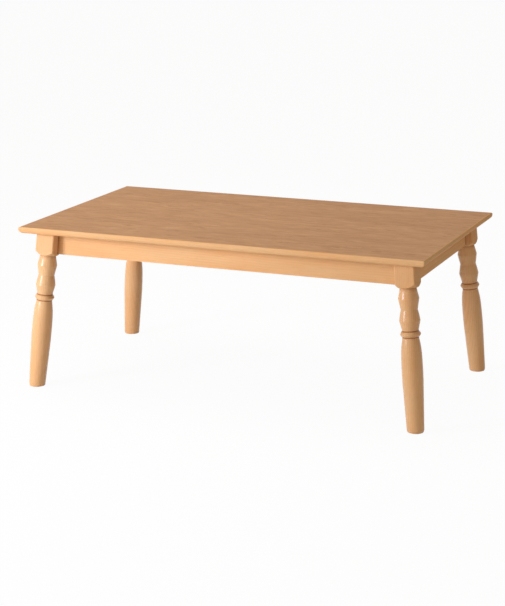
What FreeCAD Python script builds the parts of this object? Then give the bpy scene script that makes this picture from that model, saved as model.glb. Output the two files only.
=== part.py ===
import FreeCAD, Part
import math
import os
import re
import Sketcher

# A kotatsu: a low table whose loose board lies on a splayed-leg frame with an electric heater under its lattice.
# Millimetres. +X runs along the length, -Y is the front, +Z is up, and the origin is on the floor at the centre.

SIZES = {
    # The whole table.
    "top_length": 1050.0,
    "top_width": 600.0,
    "table_height": 417.0,
    # The loose board: core, veneers and a mitred edging.
    "board_thick": 16.5,
    "veneer_thick": 0.6,
    "edging_width": 24.0,
    "nose_round": 3.5,
    "nose_under_round": 11.0,
    # The legs: levels are shares of the way from the floor to the square head, along the leg's leaning axis.
    "foot_inset_x": 20.4,
    "foot_inset_y": 28.5,
    "splay_run_x": 33.2,
    "splay_run_y": 24.8,
    "splay_height": 350.0,
    "block_side": 50.0,
    "block_arris": 4.0,
    "shoulder_radius": 24.2,
    "foot_end_radius": 17.5,
    "foot_end_drop": 4.0,
    "foot_radius": 20.6,
    "foot_rise": 5.0,
    "bulb_low_radius": 24.75,
    "bulb_low_share": 0.352,
    "bulb_swell": 0.35,
    "bulb_high_radius": 24.55,
    "bulb_high_share": 0.528,
    "bulb_fall_swell": 0.85,
    "neck_radius": 19.9,
    "neck_share": 0.648,
    "ring_radius": 24.4,
    "ring_swell": 0.6,
    "ring_low_share": 0.66,
    "ring_mid_share": 0.681,
    "ring_high_share": 0.702,
    "ring_neck_share": 0.712,
    "bead_radius": 24.7,
    "waist_swell": 0.3,
    "low_bead_share": 0.774,
    "waist_share": 0.848,
    "high_bead_share": 0.924,
    "top_neck_share": 0.989,
    "foot_pad_thick": 1.5,
    "foot_pad_radius": 15.0,
    "rest_pad_radius": 8.0,
    "rest_pad_thick": 1.5,
    "rest_pad_proud": 0.3,
    # The rails between the legs.
    "rail_height": 57.2,
    "rail_thick": 20.0,
    "front_rail_inset": 54.0,
    "side_rail_inset": 47.0,
    # The lattice that holds the heater.
    "slat_margin": 53.5,
    "slat_width": 25.0,
    "slat_height": 24.0,
    "slat_drop": 2.0,
    "tenon_length": 10.0,
    "tenon_width": 9.0,
    "tenon_height": 14.0,
    "joint_gap": 0.1,
    # The corner plates, their bolts and their screws.
    "plate_thick": 2.3,
    "plate_leg": 30.0,
    "plate_flange": 18.0,
    "plate_height": 36.0,
    "plate_drop": 3.0,
    "corner_flat": 10.0,
    "bolt_radius": 4.0,
    "bolt_spacing": 18.0,
    "bolt_depth": 24.0,
    "bolt_tail": 5.0,
    "bolt_hole_gap": 0.4,
    "washer_radius": 8.0,
    "washer_thick": 1.6,
    "nut_radius": 7.5,
    "nut_height": 6.5,
    "screw_radius": 1.9,
    "screw_length": 14.0,
    "screw_head_radius": 4.0,
    "screw_head_height": 2.4,
    "screw_hole_gap": 0.3,
    # The heater housing.
    "bezel_lap": 17.5,
    "bezel_thick": 10.0,
    "bezel_lip": 19.5,
    "bezel_rebate": 6.0,
    "cover_clearance": 4.5,
    "cover_height": 26.5,
    "cover_wall": 1.0,
    "cover_gap": 0.2,
    "vent_length_share": 0.21,
    "vent_width": 5.0,
    "vent_pitch_share": 0.049,
    "vent_offset_share": 0.308,
    "reflector_gap": 0.5,
    "reflector_thick": 0.8,
    "reflector_flat_rise": 6.5,
    "trough_rise": 15.5,
    "trough_width_share": 0.219,
    "trough_slope_share": 0.0625,
    "fan_hole_share": 0.328,
    "guard_lap": 12.0,
    "guard_thick": 1.6,
    "guard_gap": 2.0,
    "guard_taper": 18.0,
    "guard_depth": 21.5,
    "guard_slot_margin": 14.0,
    "guard_slot_share": 0.533,
    "guard_slot_rib": 12.0,
    # The quartz heaters and the fan.
    "tube_offset_share": 0.3125,
    "tube_drop": 13.5,
    "tube_radius": 6.0,
    "tube_wall": 1.0,
    "tube_margin": 10.0,
    "coil_radius": 3.0,
    "coil_seat": 2.0,
    "cap_radius": 8.5,
    "cap_grip": 5.0,
    "cap_end": 9.0,
    "clip_thick": 3.0,
    "clip_width": 24.0,
    "clip_chin": 3.0,
    "motor_share": 0.524,
    "motor_height": 14.0,
    "motor_bush_radius": 5.0,
    "motor_bush_height": 3.0,
    "shaft_radius": 1.5,
    "shaft_gap": 0.05,
    "shaft_in_motor": 6.0,
    "hub_radius": 8.0,
    "hub_height": 12.0,
    "hub_drop": 4.0,
    "blade_gap": 4.0,
    "blade_chord": 14.0,
    "blade_thick": 1.6,
    # Small electrical pieces.
    "thermostat_length": 24.0,
    "thermostat_width": 14.0,
    "thermostat_height": 9.0,
    "thermostat_gap": 4.0,
    "terminal_length": 18.0,
    "terminal_width": 36.0,
    "terminal_height": 10.0,
    "terminal_gap": 8.0,
    "fuse_radius": 3.0,
    "fuse_length": 18.0,
    "fuse_gap": 19.0,
    "socket_width": 34.0,
    "socket_height": 17.0,
    "socket_depth": 20.0,
    "socket_wall": 3.0,
    "socket_floor": 5.0,
    "inlet_pin_radius": 2.0,
    "inlet_pin_spacing": 14.0,
    "inlet_pin_length": 11.0,
    "inlet_pin_root": 3.0,
    "heater_screw_grip": 11.0,
    "guard_screw_radius": 1.4,
    "guard_screw_head": 3.0,
    "guard_screw_head_height": 1.8,
    "guard_screw_inset": 6.0,
    "guard_screw_grip": 3.5,
    "motor_screw_share": 0.636,
    "overrun": 5.0,
}
BLADE_COUNT = 6
BLADE_TILT_DEG = 32.0
GUARD_SLOT_ROWS = 13
SHANK_SIDES = 6
HEAD_SIDES = 12
WASHER_SIDES = 20
NUT_SIDES = 6
VENT_COUNT = 5
PARALLEL_SHARE = 0.01

# Sizes that follow from the ones above.
DERIVED = {
    "board_under": "table_height - board_thick",
    "frame_top": "board_under - rest_pad_proud",
    "rail_bottom": "frame_top - rail_height",
    "foot_x": "top_length / 2 - foot_inset_x",
    "foot_y": "top_width / 2 - foot_inset_y",
    "front_rail_face": "top_width / 2 - front_rail_inset",
    "front_rail_inner": "front_rail_face - rail_thick",
    "side_rail_face": "top_length / 2 - side_rail_inset",
    "side_rail_inner": "side_rail_face - rail_thick",
    "slat_top": "frame_top - slat_drop",
    "slat_bottom": "slat_top - slat_height",
    "heater_opening": "2 * (front_rail_inner - slat_margin - slat_width)",
    "slat_near": "heater_opening / 2",
    "bezel_side": "heater_opening + 2 * bezel_lap",
    "bezel_hole": "heater_opening - 2 * bezel_lip",
    "cover_side": "heater_opening - 2 * cover_clearance",
    "vent_pitch": "cover_side * vent_pitch_share",
    "vent_length": "cover_side * vent_length_share",
    "vent_offset": "cover_side * vent_offset_share",
    "reflector_side": "cover_side - 2 * cover_wall - 2 * reflector_gap",
    "guard_flange_side": "bezel_hole + 2 * guard_lap",
    "guard_mouth": "bezel_hole - 2 * guard_gap",
    "guard_floor_side": "guard_mouth - 2 * guard_taper",
    "guard_slot_length": "(guard_floor_side - guard_slot_rib) / 2 - guard_slot_margin",
    "guard_slot_pitch": f"(guard_floor_side - 2 * guard_slot_margin) / ({GUARD_SLOT_ROWS - 1} + guard_slot_share)",
    "guard_screw_place": "bezel_hole / 2 + guard_screw_inset",
    "tube_length": "guard_floor_side - 2 * tube_margin",
    "tube_offset": "bezel_hole * tube_offset_share",
    "trough_half_width": "bezel_hole * trough_width_share / 2",
    "trough_slope_run": "bezel_hole * trough_slope_share",
    "fan_hole_radius": "bezel_hole * fan_hole_share / 2",
    "motor_radius": "fan_hole_radius * motor_share",
    "motor_screw_place": "motor_radius * motor_screw_share",
    "blade_reach": "fan_hole_radius - blade_gap",
    "thermostat_place": "fan_hole_radius + thermostat_gap + thermostat_length / 2",
    "terminal_place": "reflector_side / 2 - terminal_gap - terminal_length / 2",
    "fuse_place": "fan_hole_radius + fuse_gap + fuse_length / 2",
    "bezel_bottom": "slat_bottom - bezel_thick",
    "cover_bottom": "slat_bottom - bezel_rebate",
    "cover_top": "cover_bottom + cover_height",
    "tube_level": "slat_bottom - tube_drop",
    "reflector_flat": "cover_bottom + reflector_flat_rise",
    "reflector_trough": "cover_bottom + trough_rise",
    "plate_top": "frame_top - plate_drop",
    "plate_bottom": "plate_top - plate_height",
    "plate_reach": "plate_leg + plate_flange",
    "low_bolt_level": "plate_bottom + plate_height / 2 - bolt_spacing / 2",
    "motor_bottom": "cover_top - cover_wall - motor_height",
    "hub_top": "motor_bottom - motor_bush_height - hub_drop",
}

doc = FreeCAD.newDocument("kotatsu")
sheet = doc.addObject("Spreadsheet::Sheet", "sizes")
for row, (name, value) in enumerate(SIZES.items(), 1):
    sheet.set(f"A{row}", name)
    sheet.set(f"B{row}", str(value))
    sheet.setAlias(f"B{row}", name)
for row, (name, formula) in enumerate(DERIVED.items(), len(SIZES) + 1):
    sheet.set(f"A{row}", name)
    sheet.set(f"B{row}", "=" + formula)
    sheet.setAlias(f"B{row}", name)
doc.recompute()
SCRATCH_CELL = "D1"
NAMES = set(SIZES) | set(DERIVED)
PARTS = {}
X, Y, Z = FreeCAD.Vector(1, 0, 0), FreeCAD.Vector(0, 1, 0), FreeCAD.Vector(0, 0, 1)
FACING = {
    "x": FreeCAD.Rotation(Z, X),
    "y": FreeCAD.Rotation(Z, Y),
    "z": FreeCAD.Rotation(),
    "-z": FreeCAD.Rotation(X, 180),
    "xy": FreeCAD.Rotation(Z, X + Y),
}


def number(formula):
    """The value of a formula in the sheet's names."""
    sheet.set(SCRATCH_CELL, "=" + str(formula))
    sheet.recompute()
    return float(sheet.get(SCRATCH_CELL))


def bind(thing, prop, formula):
    """Tie a property to a formula in the sheet's names."""
    cells = re.sub(r"[a-z]\w*", lambda m: "sizes." + m[0] if m[0] in NAMES else m[0], str(formula))
    thing.setExpression(prop, cells)


def put(thing, at):
    for axis, formula in zip("xyz", at):
        bind(thing, f"Placement.Base.{axis}", formula)
    return thing


def box(name, size, at):
    """A box from its size and its lowest corner."""
    made = doc.addObject("Part::Box", name)
    for prop, formula in zip(("Length", "Width", "Height"), size):
        bind(made, prop, formula)
    return put(made, at)


def centred_box(name, size, middle, low):
    """A box centred on a point in plan, standing on a level."""
    at = (f"{middle[0]} - ({size[0]}) / 2", f"{middle[1]} - ({size[1]}) / 2", low)
    return box(name, size, at)


def rod(name, radius, length, at, facing="z", sides=0):
    """A cylinder, or a prism of so many sides, from the centre of its near end."""
    made = doc.addObject("Part::Prism" if sides else "Part::Cylinder", name)
    if sides:
        made.Polygon = sides
    bind(made, "Circumradius" if sides else "Radius", radius)
    bind(made, "Height", length)
    made.Placement.Rotation = FACING[facing]
    return put(made, at)


def joined(name, pieces):
    made = doc.addObject("Part::MultiFuse", name)
    made.Shapes = pieces
    made.Refine = True
    return made


def cut(name, base, tools):
    made = doc.addObject("Part::Cut", name)
    made.Base = base
    made.Tool = tools[0] if len(tools) == 1 else doc.addObject("Part::Compound", name + "_tools")
    if len(tools) > 1:
        made.Tool.Links = tools
    return made


def common(name, base, tool):
    made = doc.addObject("Part::Common", name)
    made.Base, made.Tool = base, tool
    return made


def mirrored(name, source, normal):
    made = doc.addObject("Part::Mirroring", name)
    made.Source, made.Normal = source, normal
    return made


def group(name, pieces):
    made = doc.addObject("Part::Compound", name)
    made.Links = pieces
    return made


def four_corners(name, source):
    """A piece of the front left corner and its three mirror images."""
    right = mirrored(name + "_fr", source, X)
    left_back = mirrored(name + "_bl", source, Y)
    return [source, right, left_back, mirrored(name + "_br", right, Y)]


def keep(label, thing):
    thing.Label = label
    PARTS[label] = thing
    return thing


def profile(body, plane, outline):
    """A closed sketch whose corners are formulas; a third entry bends the edge to the next corner by that swell."""
    sketch = body.newObject("Sketcher::SketchObject", body.Name + "_outline")
    origin_plane = [f for f in body.Origin.OriginFeatures if f.Role == plane][0]
    sketch.AttachmentSupport = (origin_plane, "")
    sketch.MapMode = "FlatFace"
    spots = [FreeCAD.Vector(number(p[0]), number(p[1]), 0) for p in outline]
    count = len(spots)
    for i, corner in enumerate(outline):
        start, end = spots[i], spots[(i + 1) % count]
        if len(corner) > 2:
            along = end - start
            side = FreeCAD.Vector(along.y, -along.x, 0).normalize()
            crown = (start + end) / 2 + side * number(corner[2])
            sketch.addGeometry(Part.Arc(start, crown, end))
        else:
            sketch.addGeometry(Part.LineSegment(start, end))
    curved = [len(corner) > 2 for corner in outline]
    for i, corner in enumerate(outline):
        # An arc that was drawn clockwise keeps its ends the other way round.
        first, last = ends(sketch, i, spots[i]), ends(sketch, i - 1 if i else count - 1, spots[i])
        sketch.addConstraint(Sketcher.Constraint("Coincident", last[0], last[1], first[0], first[1]))
        for kind, formula, value in (("DistanceX", corner[0], spots[i].x), ("DistanceY", corner[1], spots[i].y)):
            at = sketch.addConstraint(Sketcher.Constraint(kind, -1, 1, first[0], first[1], value))
            bind(sketch, f"Constraints[{at}]", formula)
        if curved[i]:
            radius = sketch.Geometry[i].Radius
            sketch.addConstraint(Sketcher.Constraint("Radius", i, radius))
    return sketch


def ends(sketch, index, spot):
    """The end of an edge that lies on a spot, as the sketch names it."""
    edge = sketch.Geometry[index]
    near = (edge.StartPoint - spot).Length < (edge.EndPoint - spot).Length
    return index, 1 if near else 2


def extruded(name, plane, outline, length, middle=True):
    body = doc.addObject("PartDesign::Body", name)
    pad = body.newObject("PartDesign::Pad", name + "_pad")
    pad.Profile = profile(body, plane, outline)
    pad.Midplane = middle
    bind(pad, "Length", length)
    body.Tip = pad
    return body


def turned(name, outline):
    """A turning about its own Z axis."""
    body = doc.addObject("PartDesign::Body", name)
    sketch = profile(body, "XZ_Plane", outline)
    turn = body.newObject("PartDesign::Revolution", name + "_turn")
    turn.Profile = sketch
    turn.ReferenceAxis = (sketch, ["V_Axis"])
    body.Tip = turn
    return body


def board():
    """The loose top: a core between two veneers inside a mitred edging with a rounded nose."""
    core = ("top_length - 2 * edging_width", "top_width - 2 * edging_width")
    mid = ("0", "0")
    keep("tabletop_core", centred_box("core", (*core, "board_thick - 2 * veneer_thick"), mid,
                                      "board_under + veneer_thick"))
    keep("backing_sheet", centred_box("backing", (*core, "veneer_thick"), mid, "board_under"))
    face = ("top_length - 2 * nose_round", "top_width - 2 * nose_round", "veneer_thick")
    keep("top_veneer", centred_box("veneer", face, mid, "table_height - veneer_thick"))
    for name, side, width, length in (("front", "Y", "top_width", "top_length"),
                                      ("left", "X", "top_length", "top_width")):
        edge = f"-{width} / 2"
        seat = "table_height - veneer_thick"
        outline = [
            (f"{edge} + edging_width", "board_under"),
            (f"{edge} + edging_width", seat),
            (f"{edge} + nose_round", seat),
            (f"{edge} + nose_round", "table_height", "nose_round * (1 - sqrt(0.5))"),
            (edge, "table_height - nose_round"),
            (edge, "board_under + nose_under_round", "nose_under_round * (1 - sqrt(0.5))"),
            (f"{edge} + nose_under_round", "board_under"),
        ]
        plane = "YZ_Plane" if side == "Y" else "XZ_Plane"
        strip = extruded(f"edging_{name}_strip", plane, outline, length)
        mitre = extruded(f"edging_{name}_mitre", "XY_Plane", mitre_outline(side), "2 * table_height")
        piece = keep(f"edging_{name}", common(f"edging_{name}_band", strip, mitre))
        other = {"front": "back", "left": "right"}[name]
        keep(f"edging_{other}", mirrored(f"edging_{other}_band", piece, Y if side == "Y" else X))


def mitre_outline(side):
    """The plan of one edging strip, cut at 45 degrees at both ends."""
    if side == "Y":
        return [
            ("-top_length / 2", "-top_width / 2"),
            ("top_length / 2", "-top_width / 2"),
            ("top_length / 2 - edging_width", "edging_width - top_width / 2"),
            ("edging_width - top_length / 2", "edging_width - top_width / 2"),
        ]
    return [
        ("-top_length / 2", "-top_width / 2"),
        ("edging_width - top_length / 2", "edging_width - top_width / 2"),
        ("edging_width - top_length / 2", "top_width / 2 - edging_width"),
        ("-top_length / 2", "top_width / 2"),
    ]


def lean(thing):
    """Stand a piece of the front left leg on its leaning axis."""
    run = FreeCAD.Vector(number("splay_run_x"), number("splay_run_y"), number("splay_height"))
    thing.Placement.Rotation = FreeCAD.Rotation(Z, run)
    return put(thing, ("-foot_x", "-foot_y", "0"))


def square_block(name, arris):
    """The square head of the leg, longer than needed, on the leg's axis."""
    half = "block_side / 2"
    block = extruded(name, "XY_Plane", [
        (f"-{half}", f"-{half}"), (half, f"-{half}"), (half, half), (f"-{half}", half),
    ], "2 * table_height")
    if arris:
        doc.recompute()
        pad = block.Tip
        upright = [f"Edge{i}" for i, edge in enumerate(pad.Shape.Edges, 1)
                   if abs(edge.tangentAt(edge.FirstParameter).z) > 1 - PARALLEL_SHARE]
        fillet = block.newObject("PartDesign::Fillet", name + "_arris")
        fillet.Base = (pad, upright)
        bind(fillet, "Radius", arris)
        block.Tip = fillet
    return lean(block)


def leg_outline():
    """The turned part from the foot to the neck under the square head: foot, bulb, ring and two beads."""
    turning = [
        ("bulb_low_radius", "bulb_low_share", "bulb_swell"),
        ("bulb_high_radius", "bulb_high_share", "bulb_fall_swell"),
        ("neck_radius", "neck_share"),
        ("neck_radius", "ring_low_share", "ring_swell"),
        ("ring_radius", "ring_mid_share", "ring_swell"),
        ("neck_radius", "ring_high_share"),
        ("neck_radius", "ring_neck_share"),
        ("bead_radius", "low_bead_share", "waist_swell"),
        ("neck_radius", "waist_share"),
        ("bead_radius", "high_bead_share"),
        ("neck_radius", "top_neck_share"),
    ]
    foot = [
        ("0", "-foot_end_drop"),
        ("foot_end_radius", "-foot_end_drop"),
        ("foot_radius", "foot_rise"),
    ]
    head = [("neck_radius", "rail_bottom + overrun"), ("0", "rail_bottom + overrun")]
    return foot + [(r, f"{share} * rail_bottom", *swell) for r, share, *swell in turning] + head


def bolt_rods(name, radius, start, length, sides=0):
    """Two level rods across the front left corner, from a distance out of the rails' inner corner."""
    plan = (f"({start}) * sqrt(0.5) - side_rail_inner", f"({start}) * sqrt(0.5) - front_rail_inner")
    return [rod(f"{name}_{level}", radius, length, (*plan, height), "xy", sides)
            for level, height in (("low", "low_bolt_level"), ("high", "low_bolt_level + bolt_spacing"))]


PLATE_FACE = "plate_leg * sqrt(0.5)"


def legs():
    """Four turned legs; each head has a lathe-cut shoulder, an inner flat and two bolt holes."""
    turning = lean(turned("leg_turning", leg_outline()))
    head = square_block("leg_head", "block_arris")
    cone = doc.addObject("Part::Cone", "leg_shoulder")
    bind(cone, "Radius1", "shoulder_radius")
    bind(cone, "Radius2", "shoulder_radius + table_height")
    bind(cone, "Height", "table_height")
    run = FreeCAD.Vector(number("splay_run_x"), number("splay_run_y"), number("splay_height"))
    cone.Placement.Rotation = FreeCAD.Rotation(Z, run)
    stretch = run.Length / run.z
    share = {"x": run.x / run.z / stretch, "y": run.y / run.z / stretch, "z": 1 / stretch}
    put(cone, (f"rail_bottom * {share['x']} - foot_x", f"rail_bottom * {share['y']} - foot_y",
               f"rail_bottom * {share['z']}"))
    whole = joined("leg_whole", [turning, common("leg_pommel", head, cone)])
    room = centred_box("leg_room", ("top_length", "top_width", "frame_top - foot_pad_thick"), ("0", "0"),
                       "foot_pad_thick")
    level = common("leg_level", whole, room)
    # The inner corner is cut flat for the bolts, and the bolts are screwed into it.
    across = "block_side * sqrt(0.5) / 2"
    flat = box("leg_flat", ("block_side", "block_side", "table_height"),
               (f"flat_place * sqrt(0.5) - side_rail_inner + {across}",
                f"flat_place * sqrt(0.5) - front_rail_inner - {across}",
                "rail_bottom + block_arris + overrun"))
    flat.Placement.Rotation = FreeCAD.Rotation(Z, 45)
    holes = bolt_rods("leg_hole", "bolt_radius", "flat_place - bolt_depth", "bolt_depth + overrun")
    recess = rod("leg_recess", "rest_pad_radius", "rest_pad_thick", ("-head_x", "-head_y", "rest_pad_base"))
    leg = cut("leg", level, [flat, *holes, recess])
    names = ("front_left", "front_right", "back_left", "back_right")
    for label, piece in zip(names, four_corners("leg", leg)):
        keep("leg_" + label, piece)
    feet = rod("foot_pad", "foot_pad_radius", "foot_pad_thick", ("-foot_x", "-foot_y", "0"))
    keep("foot_pads", group("foot_pad_group", four_corners("foot_pad", feet)))
    rest = rod("rest_pad", "rest_pad_radius", "rest_pad_thick", ("-head_x", "-head_y", "rest_pad_base"))
    keep("rest_pads", group("rest_pad_group", four_corners("rest_pad", rest)))


def screw_place(facing):
    """Where one flange's two screws go, from the rails' inner corner."""
    along = "plate_leg + plate_flange / 2"
    for level in ("low_bolt_level", "low_bolt_level + bolt_spacing"):
        if facing == "y":
            yield (f"{along} - side_rail_inner", "plate_thick - front_rail_inner", level)
        else:
            yield ("plate_thick - side_rail_inner", f"{along} - front_rail_inner", level)


def corner_screws(name, radius, length, lead, flanges=("y", "x"), sides=SHANK_SIDES):
    """Rods at the front left corner's screws that start a lead proud of the plate and run into the rail."""
    rods = []
    for facing in flanges:
        for i, (x, y, z) in enumerate(screw_place(facing)):
            back = f"({lead}) - ({length})"
            at = (x, f"{y} + {back}", z) if facing == "y" else (f"{x} + {back}", y, z)
            rods.append(rod(f"{name}_{facing}{i}", radius, length, at, facing, sides))
    return rods


def corners():
    """Bent plates across the corners, with hanger bolts into the legs and screws into the rails."""
    far, leg = "plate_leg + plate_flange", "plate_leg"
    inner = "plate_leg + plate_thick * (sqrt(2) - 1)"
    outline = [(far, "0"), (far, "plate_thick"), (inner, "plate_thick"), ("plate_thick", inner),
               ("plate_thick", far), ("0", far), ("0", leg), (leg, "0")]
    bent = extruded("plate_bend", "XY_Plane", outline, "plate_height")
    put(bent, ("-side_rail_inner", "-front_rail_inner", "plate_bottom + plate_height / 2"))
    through = "plate_thick + 2 * overrun"
    holes = bolt_rods("plate_hole", "bolt_radius + bolt_hole_gap", f"{PLATE_FACE} - overrun", through)
    small = corner_screws("plate_screw_hole", "screw_radius + screw_hole_gap", through, "overrun",
                          sides=HEAD_SIDES)
    plate = cut("corner_plate", bent, holes + small)
    for label, piece in zip(("front_left", "front_right", "back_left", "back_right"),
                            four_corners("corner_plate", plate)):
        keep("corner_plate_" + label, piece)
    web = f"{PLATE_FACE} + plate_thick"
    tail = f"{web} + washer_thick + nut_height + bolt_tail"
    bolts = group("bolt_pair", bolt_rods("bolt", "bolt_radius", "flat_place - bolt_depth",
                                         f"{tail} - flat_place + bolt_depth"))
    keep("hanger_bolts", group("bolt_group", four_corners("bolt_pair", bolts)))
    ring = bolt_rods("washer_disc", "washer_radius", web, "washer_thick", WASHER_SIDES)
    bore = bolt_rods("washer_bore", "bolt_radius", f"{web} - overrun", "washer_thick + 2 * overrun")
    washers = cut("washer_pair", group("washer_discs", ring), bore)
    keep("bolt_washers", group("washer_group", four_corners("washer_pair", washers)))
    hexes = bolt_rods("nut_hexagon", "nut_radius", f"{web} + washer_thick", "nut_height", NUT_SIDES)
    bore = bolt_rods("nut_bore", "bolt_radius", web, "nut_height + 2 * overrun")
    nuts = cut("nut_pair", group("nut_blanks", hexes), bore)
    keep("bolt_nuts", group("nut_group", four_corners("nut_pair", nuts)))
    heads = corner_screws("screw_head", "screw_head_radius", "screw_head_height", "screw_head_height",
                          sides=HEAD_SIDES)
    shanks = corner_screws("screw_shank", "screw_radius", "screw_length", "0")
    screws = [joined(f"corner_screw_{i}", list(pair)) for i, pair in enumerate(zip(heads, shanks))]
    screws = group("corner_screw_set", screws)
    keep("corner_screws", group("corner_screw_group", four_corners("corner_screw_set", screws)))


def rails():
    """Four rails, cut to the leaning faces of the legs, with pilot holes and slat mortises."""
    block = square_block("rail_notch", None)
    blocks = four_corners("rail_notch", block)
    size = ("2 * head_x", "rail_thick", "rail_height")
    front = box("front_rail_bar", size, ("-head_x", "-front_rail_face", "rail_bottom"))
    pilots = corner_screws("front_pilot", "screw_radius", "screw_length", "0", ("y",))
    pilots += [mirrored(p.Name + "_right", p, X) for p in list(pilots)]
    sockets = [mortise(f"front_mortise_{side}", "y", f"{sign}(slat_near + slat_width / 2)")
               for side, sign in (("left", "-"), ("right", ""))]
    front = keep("front_rail", cut("front_rail_cut", front, [blocks[0], blocks[1], *pilots, *sockets]))
    keep("back_rail", mirrored("back_rail_cut", front, Y))
    size = ("rail_thick", "2 * head_y", "rail_height")
    side = box("side_rail_bar", size, ("-side_rail_face", "-head_y", "rail_bottom"))
    pilots = corner_screws("side_pilot", "screw_radius", "screw_length", "0", ("x",))
    pilots += [mirrored(p.Name + "_back", p, Y) for p in list(pilots)]
    sockets = [mortise(f"side_mortise_{side_name}", "x", f"{sign}(slat_near + slat_width / 2)")
               for side_name, sign in (("front", "-"), ("back", ""))]
    side = keep("left_rail", cut("side_rail_cut", side, [blocks[0], blocks[2], *pilots, *sockets]))
    keep("right_rail", mirrored("right_rail_cut", side, X))


def mortise(name, facing, middle):
    """The hole in a rail for one slat's tenon."""
    wide, deep, high = "tenon_width + 2 * joint_gap", "tenon_length + joint_gap", "tenon_height + 2 * joint_gap"
    low = "slat_bottom + slat_height / 2 - tenon_height / 2 - joint_gap"
    if facing == "y":
        return box(name, (wide, deep, high), (f"{middle} - ({wide}) / 2", f"-front_rail_inner - ({deep})", low))
    return box(name, (deep, wide, high), (f"-side_rail_inner - ({deep})", f"{middle} - ({wide}) / 2", low))


def lattice():
    """Two long and two cross slats, half lapped where they cross and tenoned into the rails."""
    middle = "(slat_near + slat_width / 2)"
    lap = "slat_width + 2 * joint_gap"
    tenon_low = "slat_bottom + slat_height / 2 - tenon_height / 2"
    bar = centred_box("long_bar", ("2 * side_rail_inner", "slat_width", "slat_height"), ("0", f"-{middle}"),
                      "slat_bottom")
    tongue = centred_box("long_tongue", ("2 * (side_rail_inner + tenon_length)", "tenon_width", "tenon_height"),
                         ("0", f"-{middle}"), tenon_low)
    laps = [centred_box(f"long_lap_{i}", (lap, "2 * slat_width", "slat_height"), (f"{sign}{middle}", f"-{middle}"),
                        "slat_bottom + slat_height / 2") for i, sign in enumerate(("-", ""))]
    pilots = [rod(f"long_pilot_{i}", "screw_radius", "heater_screw_grip",
                  (f"{sign}{middle}", f"-{middle}", "slat_bottom"), sides=SHANK_SIDES)
              for i, sign in enumerate(("-", ""))]
    front = keep("long_slat_front", cut("long_slat_cut", joined("long_slat", [bar, tongue]), laps + pilots))
    keep("long_slat_back", mirrored("long_slat_back_cut", front, Y))
    bar = centred_box("cross_bar", ("slat_width", "2 * front_rail_inner", "slat_height"), (f"-{middle}", "0"),
                      "slat_bottom")
    tongue = centred_box("cross_tongue", ("tenon_width", "2 * (front_rail_inner + tenon_length)", "tenon_height"),
                         (f"-{middle}", "0"), tenon_low)
    laps = [centred_box(f"cross_lap_{i}", ("2 * slat_width", lap, "slat_height"), (f"-{middle}", f"{sign}{middle}"),
                        "slat_bottom - slat_height / 2") for i, sign in enumerate(("-", ""))]
    left = keep("cross_slat_left", cut("cross_slat_cut", joined("cross_slat", [bar, tongue]), laps))
    keep("cross_slat_right", mirrored("cross_slat_right_cut", left, X))


def spots4(place):
    """The four corners of a square, by name."""
    return [(f"{i}", f"{sx}({place})", f"{sy}({place})")
            for i, (sx, sy) in enumerate((("-", "-"), ("", "-"), ("-", ""), ("", "")))]


def crosswise(place):
    return [("0", f"-({place})", "0"), ("1", place, "0"), ("2", "0", f"-({place})"), ("3", "0", place)]


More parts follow.
